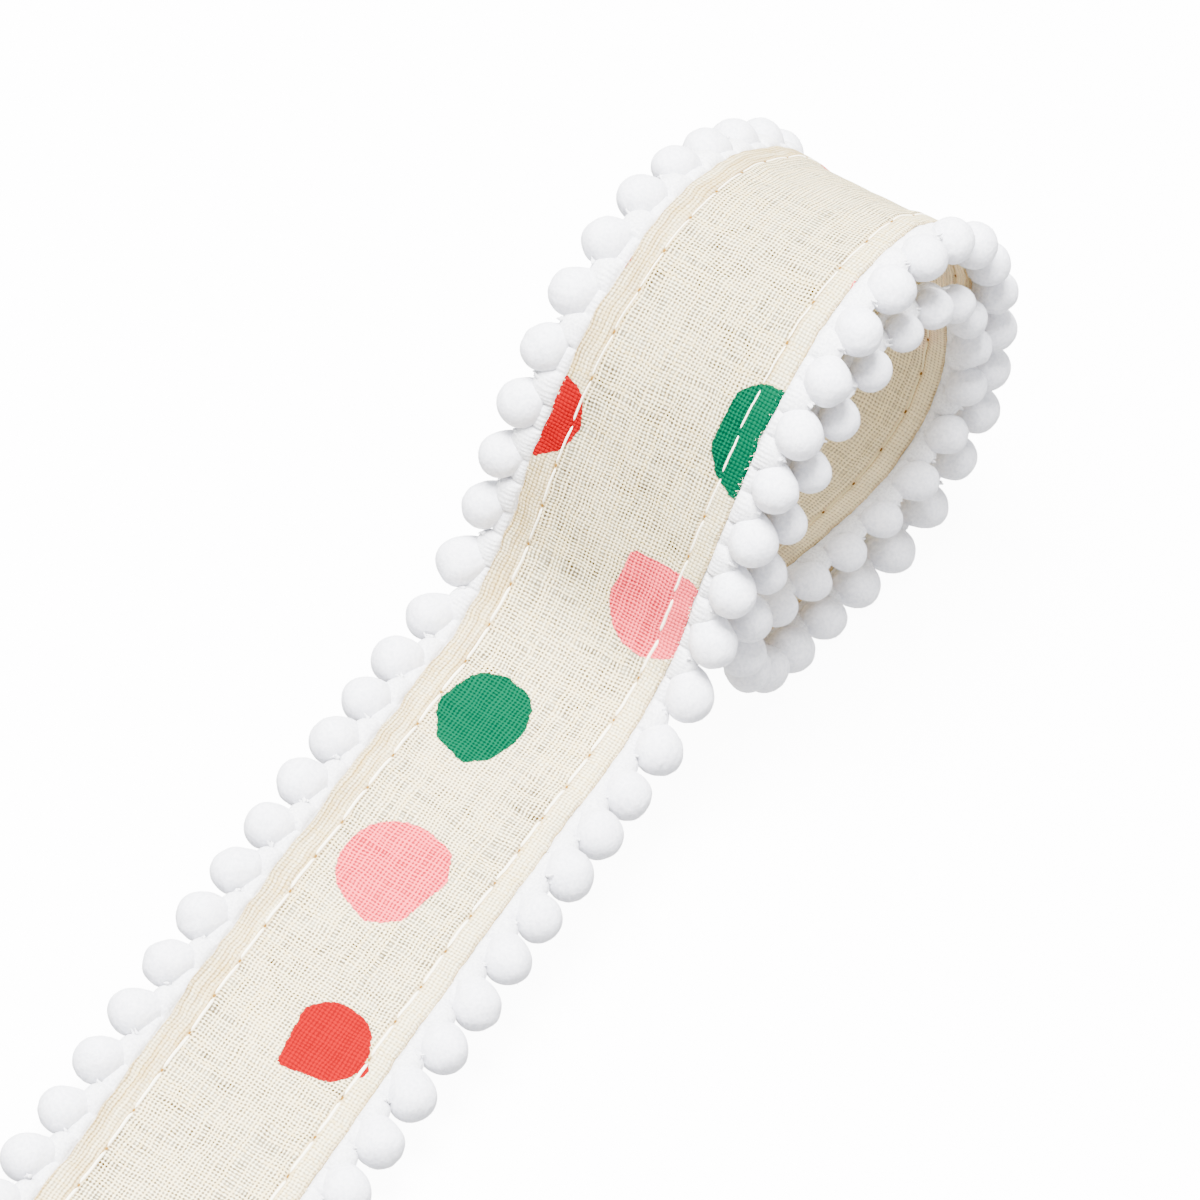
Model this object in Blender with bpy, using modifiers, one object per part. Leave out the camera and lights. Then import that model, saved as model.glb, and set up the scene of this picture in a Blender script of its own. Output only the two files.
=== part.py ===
"""Pompom fringe trim: a hemmed tape with a row of little pompoms along each edge.

The free end lies along the ground, the tape climbs at the foot of the roll, goes over the top and
round under itself, and then once more inside the first turn. Each row of pompoms hangs from a
narrow heading of its own, a hair's breadth off the edge of the tape.

Units are metres, +Z is up, and the tail runs along +X. The ground is z = 0.
"""
from collections import namedtuple
from math import cos, pi, radians, sin

import bmesh
import bpy
import numpy as np
from mathutils import Matrix, Vector

MM = 0.001
COLLECTION = "pompom_fringe_trim"

# ---- driving sizes, in millimetres --------------------------------------------------------
TAPE_WIDTH = 25.0
TAPE_THICKNESS = 1.0
STATION = 2.6            # spacing of the tape's cross lines
COURSE_STEP = 0.5        # spacing of the points that the course is worked out at
EASE = 9.0               # length over which one section's bend eases into the next
EASE_SAMPLES = 9

HEADING_GAP = 0.3        # between the tape's edge and the heading
HEADING_WIDTH = 1.5
HEADING_THICKNESS = 1.6
HEADING_STATION = 3.6

POM_RADIUS = 2.7         # from the centre to a flat side
POM_REACH = 3.85         # from the tape's edge to a pompom's centre
POM_DROP = 0.5           # of heading and pompoms behind the tape's middle
POM_SIDES = 8
POM_RINGS = 5
POM_LENGTH = 0.92        # a pompom's size outwards, as a share of its size across

# ---- the course of the tape ---------------------------------------------------------------
# From the free end. A section has its length in millimetres, the turn of the tape's face over that
# length, in degrees and positive towards its back, and the twist about its own length.
Section = namedtuple("Section", "name length turn twist")
SECTIONS = [
    Section("tail end", 32, -12, 0),
    Section("tail", 69, 12, 1),
    Section("foot", 19, -75, 4),
    Section("rise", 20, 12, -2),
    Section("shoulder", 45, 92, 13),
    Section("crown", 34, 58, -16),
    Section("far side", 28, 69, 12),
    Section("under", 8, 25, 0),
    Section("flat spot", 15, 0, 0),
    Section("heel", 9, 28, 1),
    Section("near side", 15, 37, -4),
    Section("inner fold", 11, 40, -3),
    Section("inner rise", 12, 8, 0),
    Section("inner crown", 41, 106, 9),
    Section("inner far side", 22, 47, -5),
    Section("inner under", 20, 86, -4),
    Section("inner end", 28, 23, 2),
]
TAIL_END = Vector((-92.1, 2.97, 3.29))     # the middle of the free end
TAIL_SLOPE = 0.1                         # degrees, nose down
TAIL_LEAN = 0.3                         # degrees, about its length

# ---- the two rows of pompoms --------------------------------------------------------------
# side is +1 for the right edge, seen along the tail from its free end, and -1 for the left.
Row = namedtuple("Row", "name side first pitch")
ROWS = [
    Row("left", -1, 7.9, 7.54),
    Row("right", 1, 2.9, 7.28),
]
# A row is in four headings: along the tail, over the roll, under it and in its inner turn.
Stretch = namedtuple("Stretch", "name start end")
STRETCHES = [
    Stretch("tail", 0, 98),
    Stretch("over", 98, 247),
    Stretch("under", 247, 278),
    Stretch("inner", 278, 428),
]

LINEN = ((0.90, 0.85, 0.74), 0.92)       # colour and roughness
COTTON = ((0.93, 0.93, 0.92), 0.95)


def clear_scene():
    for item in list(bpy.data.objects):
        bpy.data.objects.remove(item, do_unlink=True)


def make_collection(name):
    collection = bpy.data.collections.new(name)
    bpy.context.scene.collection.children.link(collection)
    return collection


def make_material(name, finish):
    colour, roughness = finish
    material = bpy.data.materials.new(name)
    material.use_nodes = True
    shader = material.node_tree.nodes["Principled BSDF"]
    shader.inputs["Base Color"].default_value = (*colour, 1.0)
    shader.inputs["Roughness"].default_value = roughness
    shader.inputs["Metallic"].default_value = 0.0
    material.diffuse_color = (*colour, 1.0)
    return material


def eased_angle(column, distances):
    """Angle turned so far at each distance, with every change of bend spread over EASE."""
    ends = np.cumsum([0.0] + [section.length for section in SECTIONS])
    angles = np.cumsum([0.0] + [radians(getattr(section, column)) for section in SECTIONS])
    offsets = ((np.arange(EASE_SAMPLES) + 0.5) / EASE_SAMPLES - 0.5) * EASE
    return np.mean([np.interp(distances + offset, ends, angles) for offset in offsets], axis=0)


class Course:
    """The tape's middle line with its three directions: along it, across it and out of its face."""

    def __init__(self):
        self.length = sum(section.length for section in SECTIONS)
        distances = np.arange(0.0, self.length + COURSE_STEP, COURSE_STEP)
        turns = np.diff(eased_angle("turn", distances))
        twists = np.diff(eased_angle("twist", distances))
        tip = Matrix.Rotation(radians(TAIL_SLOPE), 3, "Y") @ Matrix.Rotation(radians(TAIL_LEAN), 3, "X")
        along = tip @ Vector((1, 0, 0))
        across = tip @ Vector((0, -1, 0))
        face = tip @ Vector((0, 0, 1))
        point = TAIL_END.copy()
        rows = [(point.copy(), along, across, face)]
        for turn, twist in zip(turns, twists):
            half_way = along * cos(turn / 2) - face * sin(turn / 2)
            point = point + half_way * COURSE_STEP
            along, face = along * cos(turn) - face * sin(turn), face * cos(turn) + along * sin(turn)
            across, face = across * cos(twist) + face * sin(twist), face * cos(twist) - across * sin(twist)
            rows.append((point.copy(), along, across, face))
        self.rows = rows

    def at(self, distance):
        place = min(max(distance / COURSE_STEP, 0.0), len(self.rows) - 1.001)
        index = int(place)
        share = place - index
        before, after = self.rows[index], self.rows[index + 1]
        return [first.lerp(second, share) for first, second in zip(before, after)]

    def point(self, distance, outwards, upwards):
        """A point beside the middle line, by its distances across the tape and out of its face."""
        middle, along, across, face = self.at(distance)
        return (middle + across * outwards + face * upwards) * MM


def add_object(name, mesh, collection, material):
    piece = bpy.data.objects.new(name, mesh)
    collection.objects.link(piece)
    mesh.materials.clear()
    mesh.materials.append(material)
    return piece


def strip(name, course, start, end, spacing, edges, drop, thickness, collection, material):
    """A strip of cloth: a flat grid bent along the course, then given its thickness."""
    steps = max(1, round((end - start) / spacing))
    grid = bmesh.new()
    bmesh.ops.create_grid(grid, x_segments=steps, y_segments=1, size=0.5)
    inner, outer = edges
    for vertex in grid.verts:
        distance = start + (vertex.co.x + 0.5) * (end - start)
        outwards = inner + (vertex.co.y + 0.5) * (outer - inner)
        vertex.co = course.point(distance, outwards, -drop)
    bmesh.ops.recalc_face_normals(grid, faces=grid.faces)
    mesh = bpy.data.meshes.new(name)
    grid.to_mesh(mesh)
    grid.free()
    piece = add_object(name, mesh, collection, material)
    solidify = piece.modifiers.new("thickness", "SOLIDIFY")
    solidify.thickness = thickness * MM
    solidify.offset = 0.0
    return piece


def pompoms(name, course, row, places, collection, material):
    """Faceted balls on one edge, each with a flat side towards the tape's face and back."""
    balls = bmesh.new()
    corner_radius = POM_RADIUS / (cos(pi / POM_SIDES) * sin(pi * (POM_RINGS // 2) / POM_RINGS))
    for place in places:
        middle, along, across, face = course.at(place)
        outwards = across * row.side
        centre = course.point(place, row.side * (TAPE_WIDTH / 2 + POM_REACH), -POM_DROP)
        turned = Matrix((along, outwards.cross(along), outwards)).transposed().to_4x4()
        placed = Matrix.Translation(centre) @ turned @ Matrix.Diagonal((1, 1, POM_LENGTH, 1))
        placed = placed @ Matrix.Rotation(pi / POM_SIDES, 4, "Z")
        bmesh.ops.create_uvsphere(
            balls, u_segments=POM_SIDES, v_segments=POM_RINGS, radius=corner_radius * MM, matrix=placed)
    bmesh.ops.recalc_face_normals(balls, faces=balls.faces)
    mesh = bpy.data.meshes.new(name)
    balls.to_mesh(mesh)
    balls.free()
    return add_object(name, mesh, collection, material)


def between_pompoms(row, distance):
    """The nearest place to a distance along the tape that is midway between two pompoms."""
    return row.first + row.pitch * (round((distance - row.first) / row.pitch - 0.5) + 0.5)


def trim(course, row, stretch, parts, cutters, material):
    """One heading with its pompoms, joined at their roots."""
    start, end = (between_pompoms(row, limit) for limit in (stretch.start, stretch.end))
    start = max(start, 0.0)
    end = min(end, course.length)
    inner = row.side * (TAPE_WIDTH / 2 + HEADING_GAP)
    outer = inner + row.side * HEADING_WIDTH
    name = f"trim_{row.name}_{stretch.name}"
    heading = strip(
        name, course, start + HEADING_GAP / 2, end - HEADING_GAP / 2, HEADING_STATION,
        (inner, outer), POM_DROP, HEADING_THICKNESS, parts, material)
    count = int((course.length - row.first - POM_RADIUS) / row.pitch) + 1
    places = [row.first + row.pitch * index for index in range(count)]
    places = [place for place in places if start < place < end]
    balls = pompoms(name + "_balls", course, row, places, cutters, material)
    balls.hide_render = True
    balls.display_type = "WIRE"
    join = heading.modifiers.new("roots", "BOOLEAN")
    join.operation = "UNION"
    join.solver = "EXACT"
    join.object = balls
    return heading


def build():
    clear_scene()
    parts = make_collection(COLLECTION)
    cutters = make_collection("cutters")
    course = Course()
    half = TAPE_WIDTH / 2
    linen = make_material("linen_tape", LINEN)
    strip("tape", course, 0.0, course.length, STATION, (-half, half), 0.0, TAPE_THICKNESS, parts, linen)
    for row in ROWS:
        cotton = make_material(f"cotton_{row.name}", COTTON)
        for stretch in STRETCHES:
            trim(course, row, stretch, parts, cutters, cotton)


build()
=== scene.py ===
# %% [markdown]
# # A loose roll of pompom fringe trim
#
# The real thing is a 25 mm tape of cream linen, hemmed along both edges, with a trim of little
# white pompoms sewn into each hem. It is rolled twice round and its free end lies out in front.
# The solids that give it its size and place are already made. This script puts the looks on them:
# the weave and the printed dots, the stitching, the ribbed headings and the soft balls.
#
# ## The frame
#
# Everything is in metres in the frame of those solids, so the first thing to do is to load them
# and note the box that they fill.

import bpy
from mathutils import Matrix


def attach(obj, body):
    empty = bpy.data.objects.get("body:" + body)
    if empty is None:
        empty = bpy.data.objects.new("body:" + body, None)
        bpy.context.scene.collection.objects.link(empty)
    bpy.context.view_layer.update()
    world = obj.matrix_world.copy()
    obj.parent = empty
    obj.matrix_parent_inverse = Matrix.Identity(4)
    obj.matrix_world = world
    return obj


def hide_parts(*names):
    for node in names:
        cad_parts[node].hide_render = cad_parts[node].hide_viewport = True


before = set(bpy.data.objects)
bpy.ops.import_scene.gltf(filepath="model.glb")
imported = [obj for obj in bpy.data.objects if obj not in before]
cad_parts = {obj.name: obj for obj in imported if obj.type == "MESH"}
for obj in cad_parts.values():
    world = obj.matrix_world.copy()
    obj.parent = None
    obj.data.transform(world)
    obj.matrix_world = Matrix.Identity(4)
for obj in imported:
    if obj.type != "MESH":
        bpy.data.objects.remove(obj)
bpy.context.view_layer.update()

# %% Modules and the millimetre
from collections import namedtuple
from functools import partial
from math import cos, pi, radians, sin, tan

import bmesh
import bpy
import numpy as np
from mathutils import Matrix, Vector

MM = 0.001
BODY = "root"


def add_object(name, data):
    """An object in the scene."""
    thing = bpy.data.objects.new(name, data)
    bpy.context.scene.collection.objects.link(thing)
    return thing


# %% [markdown]
# ## The course of the tape
#
# A tape bends easily over its flat face and hardly at all in its own plane. So its course can be
# written the way that a hand rolls it: so many millimetres, turned by so many degrees, with a
# little twist. A path drawn with free points would let the tape stretch and skew. These sections
# are the same as in the solids, so every piece that follows them lies where its solid does.

# %% Sections of the course
TAPE_WIDTH = 25.0
HALF_WIDTH = TAPE_WIDTH / 2
COURSE_STEP = 0.5        # spacing of the points that the course is worked out at, in mm
EASE = 9.0               # length over which one section's bend eases into the next
EASE_SAMPLES = 9
TAIL_END = (-92.1, 2.97, 3.29)
TAIL_SLOPE = 0.1         # degrees, nose down
TAIL_LEAN = 0.3          # degrees, about its length

Section = namedtuple("Section", "name length turn twist")
SECTIONS = [Section(*row) for row in (
    ("tail end", 32, -12, 0),
    ("tail", 69, 12, 1),
    ("foot", 19, -75, 4),
    ("rise", 20, 12, -2),
    ("shoulder", 45, 92, 13),
    ("crown", 34, 58, -16),
    ("far side", 28, 69, 12),
    ("under", 8, 25, 0),
    ("flat spot", 15, 0, 0),
    ("heel", 9, 28, 1),
    ("near side", 15, 37, -4),
    ("inner fold", 11, 40, -3),
    ("inner rise", 12, 8, 0),
    ("inner crown", 41, 106, 9),
    ("inner far side", 22, 47, -5),
    ("inner under", 20, 86, -4),
    ("inner end", 28, 23, 2))]
LENGTH = float(sum(section.length for section in SECTIONS))
print("tape:", LENGTH, "mm long in", len(SECTIONS), "sections")


# %% Walk the course
def eased_angle(column, distances):
    """Angle turned so far at each distance, with every change of bend spread over EASE."""
    ends = np.cumsum([0.0] + [section.length for section in SECTIONS])
    angles = np.cumsum([0.0] + [radians(getattr(section, column)) for section in SECTIONS])
    offsets = ((np.arange(EASE_SAMPLES) + 0.5) / EASE_SAMPLES - 0.5) * EASE
    return np.mean([np.interp(distances + offset, ends, angles) for offset in offsets], axis=0)


def walk_course():
    """Rows of the middle point and the three directions: along, across and out of the face."""
    distances = np.arange(0.0, LENGTH + COURSE_STEP, COURSE_STEP)
    turns = np.diff(eased_angle("turn", distances))
    twists = np.diff(eased_angle("twist", distances))
    tip = Matrix.Rotation(radians(TAIL_SLOPE), 3, "Y") @ Matrix.Rotation(radians(TAIL_LEAN), 3, "X")
    along = tip @ Vector((1, 0, 0))
    across = tip @ Vector((0, -1, 0))
    face = tip @ Vector((0, 0, 1))
    point = Vector(TAIL_END)
    rows = [(point.copy(), along, across, face)]
    for turn, twist in zip(turns, twists):
        point = point + (along * cos(turn / 2) - face * sin(turn / 2)) * COURSE_STEP
        along, face = along * cos(turn) - face * sin(turn), face * cos(turn) + along * sin(turn)
        across, face = across * cos(twist) + face * sin(twist), face * cos(twist) - across * sin(twist)
        rows.append((point.copy(), along, across, face))
    return np.array([[tuple(item) for item in row] for row in rows])


COURSE = walk_course()


def course_at(distances):
    """Middle points and directions at these distances in mm, each an array with x, y, z last."""
    place = np.clip(np.asarray(distances, float) / COURSE_STEP, 0.0, len(COURSE) - 1.001)
    index = place.astype(int)
    share = (place - index)[..., None]
    return [COURSE[index, item] * (1 - share) + COURSE[index + 1, item] * share for item in range(4)]


def on_tape(distances, outwards, upwards):
    """Points in mm by their distance along the tape, across it from its middle, and off its face."""
    middle, _, across, face = course_at(distances)
    return middle + across * np.asarray(outwards)[..., None] + face * np.asarray(upwards)[..., None]


print("course:", len(COURSE), "points, highest", round(float(COURSE[:, 0, 2].max()), 1), "mm")

# %% [markdown]
# ## The camera
#
# The view looks down the tail towards the roll, from the left of the free end and well above it.
# It could be keyed in as a rotation, but a direction, an aim and a roll say more: they are what
# somebody with a camera in their hands would change.

# %% Place the camera
VIEW_AZIMUTH = -74.23    # degrees round from looking along +Y
VIEW_ELEVATION = 49.35
VIEW_ROLL = 17.15
VIEW_AIM = Vector((28.57, 3.70, 13.07)) * MM
VIEW_DISTANCE = 952.0 * MM
VIEW_ANGLE = 8.70        # degrees from side to side of the square picture
SENSOR = 36.0

azimuth, elevation, roll = (radians(angle) for angle in (VIEW_AZIMUTH, VIEW_ELEVATION, VIEW_ROLL))
view_back = Vector((sin(azimuth) * cos(elevation), -cos(azimuth) * cos(elevation), sin(elevation)))
level = Vector((cos(azimuth), sin(azimuth), 0))
upright = view_back.cross(level)
view_right = level * cos(roll) + upright * sin(roll)
view_up = upright * cos(roll) - level * sin(roll)

camera = add_object("camera", bpy.data.cameras.new("camera"))
camera.data.sensor_width = SENSOR
camera.data.lens = SENSOR / 2 / tan(radians(VIEW_ANGLE) / 2)
camera.data.clip_end = 20.0
turned = Matrix((view_right, view_up, view_back)).transposed().to_4x4()
camera.matrix_world = Matrix.Translation(VIEW_AIM + view_back * VIEW_DISTANCE) @ turned
bpy.context.scene.camera = camera
print("camera:", round(camera.data.lens), "mm lens at", camera.matrix_world.translation)

# %% [markdown]
# ## Colours and nodes
#
# Colours are written as sRGB hex values, as a colour picker gives them, and one function turns
# them to the linear values that Blender's sockets take. One more adds a shader node with its
# settings and links. With those two, each material reads from top to bottom as a recipe.


# %% Helpers for materials
def linear(hex_colour):
    """The linear colour of an sRGB hex value."""
    channels = [int(hex_colour[place:place + 2], 16) / 255 for place in (1, 3, 5)]
    curved = [c / 12.92 if c <= 0.04045 else ((c + 0.055) / 1.055) ** 2.4 for c in channels]
    return (*curved, 1.0)


def feed(node, inputs):
    """Give a node its inputs, in order or by socket: values, outputs, or nodes' first outputs."""
    for socket, value in inputs.items() if isinstance(inputs, dict) else enumerate(inputs):
        if isinstance(value, bpy.types.Node):
            value = value.outputs[0]
        if isinstance(value, bpy.types.NodeSocket):
            node.id_data.links.new(value, node.inputs[socket])
        else:
            node.inputs[socket].default_value = value


def add_node(tree, kind, inputs=(), operation=None, **settings):
    """A shader node with its inputs, its operation if it has one, and its settings."""
    node = tree.nodes.new("ShaderNode" + kind)
    if operation:
        node.operation = operation
    for name, value in settings.items():
        setattr(node, name, value)
    feed(node, inputs)
    return node


def new_material(name, **values):
    """A material, its node tree and its shader, with the shader's plain values set."""
    material = bpy.data.materials.new(name)
    material.use_nodes = True
    shader = material.node_tree.nodes["Principled BSDF"]
    feed(shader, {name.replace("_", " ").title().replace("Ior", "IOR"): value
                  for name, value in values.items()})
    return material, material.node_tree, shader


print("#808080 is", round(linear("#808080")[0], 3), "in linear light")

# %% [markdown]
# ## Floor and light
#
# Trim like this is shown on a white light table: the table glows a little, a tent gives an even
# sky, and one large lamp over the viewer's shoulder gives the balls their round shading. Small
# hard lamps would give the cloth harsh little shadows. The floor throws no light back up, as if
# it were far below, because white balls on a white floor would otherwise lose all their shape.

# %% Floor, tent and lamp
FLOOR_SIZE = 6.0         # metres, far past the edge of any view
FLOOR_GLOW = 11.5
TENT_GLOW = 2.3          # the sky's, overhead
TENT_GLOW_BELOW = 2.1
LAMP_POWER = 190.0       # watts
LAMP_SIZE = 0.7          # metres
LAMP_DISTANCE = 1.4
LAMP_RISE = 0.85         # up the picture, against the way back to the viewer
LAMP_ASIDE = -0.05       # to the right

bpy.ops.mesh.primitive_plane_add(size=FLOOR_SIZE)
floor = bpy.context.object
floor.name = "floor"
floor.visible_diffuse = False
# Matt white paper with light behind it: an even glow and no gloss.
paper = new_material(
    "white_light_table", base_color=linear("#9C9C9C"), roughness=0.9, specular_ior_level=0.0,
    emission_color=linear("#FFFFFF"), emission_strength=FLOOR_GLOW)[0]
floor.data.materials.append(paper)

world = bpy.data.worlds.new("light_tent")
world.use_nodes = True
tent = world.node_tree
sky = add_node(tent, "TexCoord").outputs["Generated"]
sky_height = add_node(tent, "SeparateXYZ", (sky,)).outputs["Z"]
glow = add_node(tent, "MapRange", (sky_height, -0.3, 0.5, TENT_GLOW_BELOW, TENT_GLOW))
feed(tent.nodes["Background"], {"Color": (1.0, 1.0, 1.0, 1.0), "Strength": glow})
bpy.context.scene.world = world

lamp_way = (view_back + view_up * LAMP_RISE + view_right * LAMP_ASIDE).normalized()
lamp = add_object("soft_lamp", bpy.data.lights.new("soft_lamp", "AREA"))
lamp.data.energy = LAMP_POWER
lamp.data.size = LAMP_SIZE
lamp.location = VIEW_AIM + lamp_way * LAMP_DISTANCE
lamp.rotation_euler = lamp_way.to_track_quat("Z", "Y").to_euler()
print("light: tent at", TENT_GLOW, "and a lamp of", LAMP_POWER, "W at", lamp.location)

# %% [markdown]
# ## Linen
#
# The cloth is a plain weave, about 21 threads to the centimetre: each thread goes over one and
# under the next. It could be modelled thread by thread, but that is a million tiny pieces. Here
# two sine waves, one across and one along, make the same over and under from the cloth's own
# coordinates in millimetres, which are stored on its mesh. Linen is dull, so it is rough with
# hardly any gloss; its threads are uneven, and little gaps show between them. It is thin enough
# for light to come through, so part of it is translucent, except where ink stops the light. The
# shade deep between the threads and in the gaps is painted into the colour.

# %% Sizes and colours of the cloth
THREAD_PITCH = 0.47      # mm from one thread to the next
THREAD_WANDER = 0.16     # mm that a thread strays sideways
THREAD_RELIEF = 0.16     # mm from the top of a thread down to a gap
WANDER_SCALE = 0.30      # of those strays to the mm
SLUB_ALONG = 0.055       # streaks to the mm along a thread, so one is some 18 mm long
SLUB_ACROSS = 2.1        # and across it, so one is a thread wide
LIGHT_THROUGH = 0.35     # of the light that meets the thin cloth, where it isn't printed
HEM_WIDTH = 2.94         # mm from the edge to the stitching, on average
SEAM = HALF_WIDTH - HEM_WIDTH
SEWN_ASIDE = 0.26        # mm that both lines of stitching lie to the right
COORDINATES = "cloth_mm"
PRINT = "print_strength"
YARN = ((0.32, "#E4D098"), (0.62, "#FFF8D8"))
# The back is the cloth's own cream, painted paler and warmer as painted light for the glow that comes
# through into the roll's hollow.
BACK_CREAM_AND_PAINTED_LIGHT = "#FFEFC6"
INKS = {"red": "#7E0007", "pink": "#D8525A", "green": "#00422C"}
# Darker copies of each ink, for painted shade between the threads and in the gaps.
INKS_IN_SHADE = {"red": "#6A0006", "pink": "#8C1C28", "green": "#002A1A"}

Weave = namedtuple("Weave", "cloth placed warp weft height streak streaks")
print("linen:", round(10 / THREAD_PITCH), "threads to the centimetre")


# %% Threads of a plain weave
def weave_threads(add):
    """Places on the cloth, the profile across each kind of thread, the height and the streaks."""
    cloth = add("UVMap", uv_map=COORDINATES)
    stray = add("TexNoise", {"Vector": cloth, "Scale": WANDER_SCALE, "Detail": 1.5}).outputs["Color"]
    centred = add("VectorMath", (stray, (0.5, 0.5, 0.5)), "SUBTRACT")
    wander = add("VectorMath", {0: centred, "Scale": THREAD_WANDER * 4}, "SCALE")
    placed = add("VectorMath", (cloth, wander), "ADD")
    parts = add("SeparateXYZ", (placed,))

    waves = []
    for part in ("X", "Y"):
        phase = add("Math", (parts.outputs[part], pi / THREAD_PITCH), "MULTIPLY")
        waves.append(add("Math", (phase,), "SINE"))
    warp, weft = [add("Math", (wave,), "ABSOLUTE") for wave in waves]
    over = add("Math", waves, "MULTIPLY")
    warp_on_top = add("MapRange", (over, -0.12, 0.12))

    heights = []
    for thread, crossing in ((weft, warp), (warp, weft)):
        rounded = add("Math", (thread, 0.55), "POWER")
        arch = add("Math", (crossing, 0.42, 0.58), "MULTIPLY_ADD")
        heights.append(add("Math", (rounded, arch), "MULTIPLY"))
    streaks = []
    for stretch in ((SLUB_ALONG, SLUB_ACROSS, 1.0), (SLUB_ACROSS, SLUB_ALONG, 1.0)):
        slubs = add("VectorMath", (placed, stretch), "MULTIPLY")
        streaks.append(add("TexNoise", {"Vector": slubs, "Scale": 1.0, "Detail": 3.0}))
    height, streak = [
        add("Mix", {0: warp_on_top, 2: pair[0], 3: pair[1]}) for pair in (heights, streaks)]
    return Weave(cloth, placed, warp, weft, height, streak, streaks)


# %% Gaps where four threads meet
def gaps_between(add, weave):
    """Factors of the painted shade in a gap: its own shape, and two patterns of how open the weave is.
    """
    beside = []
    for thread, streak in ((weave.warp, weave.streaks[1]), (weave.weft, weave.streaks[0])):
        thinner = add("Math", (streak, 1.1, 0.45), "MULTIPLY_ADD")
        beside.append(add("Math", (thinner, thread), "SUBTRACT", use_clamp=True))
    corner = add("Math", beside, "MULTIPLY")
    factors = [add("MapRange", (corner, 0.02, 0.15))]
    for scale, spread, least in ((0.75, 0.15, 0.7), (0.13, 0.13, 0.85)):
        openness = add("TexNoise", {"Vector": weave.placed, "Scale": scale, "Detail": 3.0})
        factors.append(add("MapRange", (openness, 0.5 - spread, 0.5 + spread, least)))
    return factors


# %% Bare cloth
def bare_cloth(add, weave, on_face):
    """Colour of the unprinted cloth, and how far each place is in shade between the threads."""
    side = add("SeparateXYZ", (weave.cloth,)).outputs["X"]
    out = add("Math", (side,), "ABSOLUTE")
    from_seams = add("Math", (side, SEWN_ASIDE), "SUBTRACT")
    from_middle = add("Math", (from_seams,), "ABSOLUTE")
    past_seam = add("Math", (from_middle, SEAM), "SUBTRACT")
    off_seam = add("Math", (past_seam,), "ABSOLUTE")
    along_hem = add("VectorMath", (weave.placed, (1.5, 0.10, 1.0)), "MULTIPLY")
    patches = add("TexNoise", {"Vector": along_hem, "Scale": 1.0})

    in_hem = add("MapRange", (from_middle, SEAM - 0.1, SEAM + 0.1))
    on_right = add("MapRange", (side, -1.0, 1.0))
    edge_shade = add("MapRange", (out, HALF_WIDTH - 0.4, HALF_WIDTH, 0.0, 0.6))
    seam_shade = add("MapRange", (off_seam, 0.46, 0.18, 0.0, 0.5))
    # Painted shade deep between the threads, where the weave is low.
    valley = add("MapRange", (weave.height, 0.48, 0.02))
    # Patches along the hems, where the left hem's tan tone and the painted shade between the hem's
    # threads are stronger.
    hem_patches = add("MapRange", (patches, 0.35, 0.65, 0.15))
    on_left = add("Math", (1.0, on_right), "SUBTRACT")
    hem_thread, hem_strength = [
        add("Mix", {0: on_right, 2: pair[0], 3: pair[1]})
        for pair in ((weave.warp, weave.weft), (0.55, 0.2))]  # on the left, on the right
    hem_line = add("MapRange", (hem_thread, 0.85, 0.2))
    doubled = add("Math", (in_hem, -0.5, 1.0), "MULTIPLY_ADD")
    lined = add("Math", (on_face, 0.55, 0.45), "MULTIPLY_ADD")

    shares = []
    for factors in ((on_left, 0.52, in_hem, hem_patches), (valley, 0.88),
                    (hem_strength, hem_line, hem_patches, in_hem),
                    (*gaps_between(add, weave), doubled, lined)):
        share = factors[0]
        for factor in factors[1:]:
            share = add("Math", (share, factor), "MULTIPLY")
        shares.append(share)
    left_hem_tan, valley_shade, hem_shade, gap = shares

    yarn = add("ValToRGB", {"Fac": weave.streak})
    for stop, (position, hex_colour) in zip(yarn.color_ramp.elements, YARN):
        stop.position = position
        stop.color = linear(hex_colour)
    colour = add("Mix", {0: on_face, 6: linear(BACK_CREAM_AND_PAINTED_LIGHT), 7: yarn}, data_type="RGBA").outputs[2]
    # Over the yarn: a tan tone on the left hem, then painted shade at the folded edge, beside the
    # stitching, deep between the threads, on the lines between the hem's threads and in the holes where
    # four threads meet.
    for share, shade in ((left_hem_tan, "#B4924E"), (edge_shade, "#A88248"), (seam_shade, "#B08C50"),
                         (valley_shade, "#8E6E34"), (hem_shade, "#8E6E30"), (gap, "#30220A")):
        colour = add("Mix", {0: share, 6: colour, 7: linear(shade)}, data_type="RGBA").outputs[2]
    in_shade = add("Math", (valley_shade, gap), "ADD", use_clamp=True)
    return colour, in_shade


# %% Inks on the threads
def printed_cloth(add, weave, colour, in_shade, on_face):
    """Colour of the cloth with each ink laid where its distance is below zero, and how bare it is."""
    bare = 1.0
    ragged = add("TexNoise", {"Vector": weave.cloth, "Scale": 1.5, "Detail": 3.0})
    rough_edge = add("Math", (ragged, 0.6, -0.3), "MULTIPLY_ADD")
    by_thread = add("Math", (weave.height, -0.15), "MULTIPLY")
    edge_shift = add("Math", (rough_edge, by_thread), "ADD")
    for ink, hex_colour in INKS.items():
        distance = add("Attribute", attribute_name=f"from_{ink}").outputs["Fac"]
        shifted = add("Math", (distance, edge_shift), "ADD")
        inside = add("MapRange", (shifted, 0.05, -0.05))
        taken = add("Math", (inside, on_face), "MULTIPLY")
        # The ink is darker where the cloth is in painted shade.
        ink_colour = add("Mix", {
            0: in_shade, 6: linear(hex_colour), 7: linear(INKS_IN_SHADE[ink])}, data_type="RGBA")
        colour = add("Mix", {0: taken, 6: colour, 7: ink_colour.outputs[2]}, data_type="RGBA").outputs[2]
        bare = add("Math", (bare, taken), "SUBTRACT")
    return colour, bare


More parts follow.
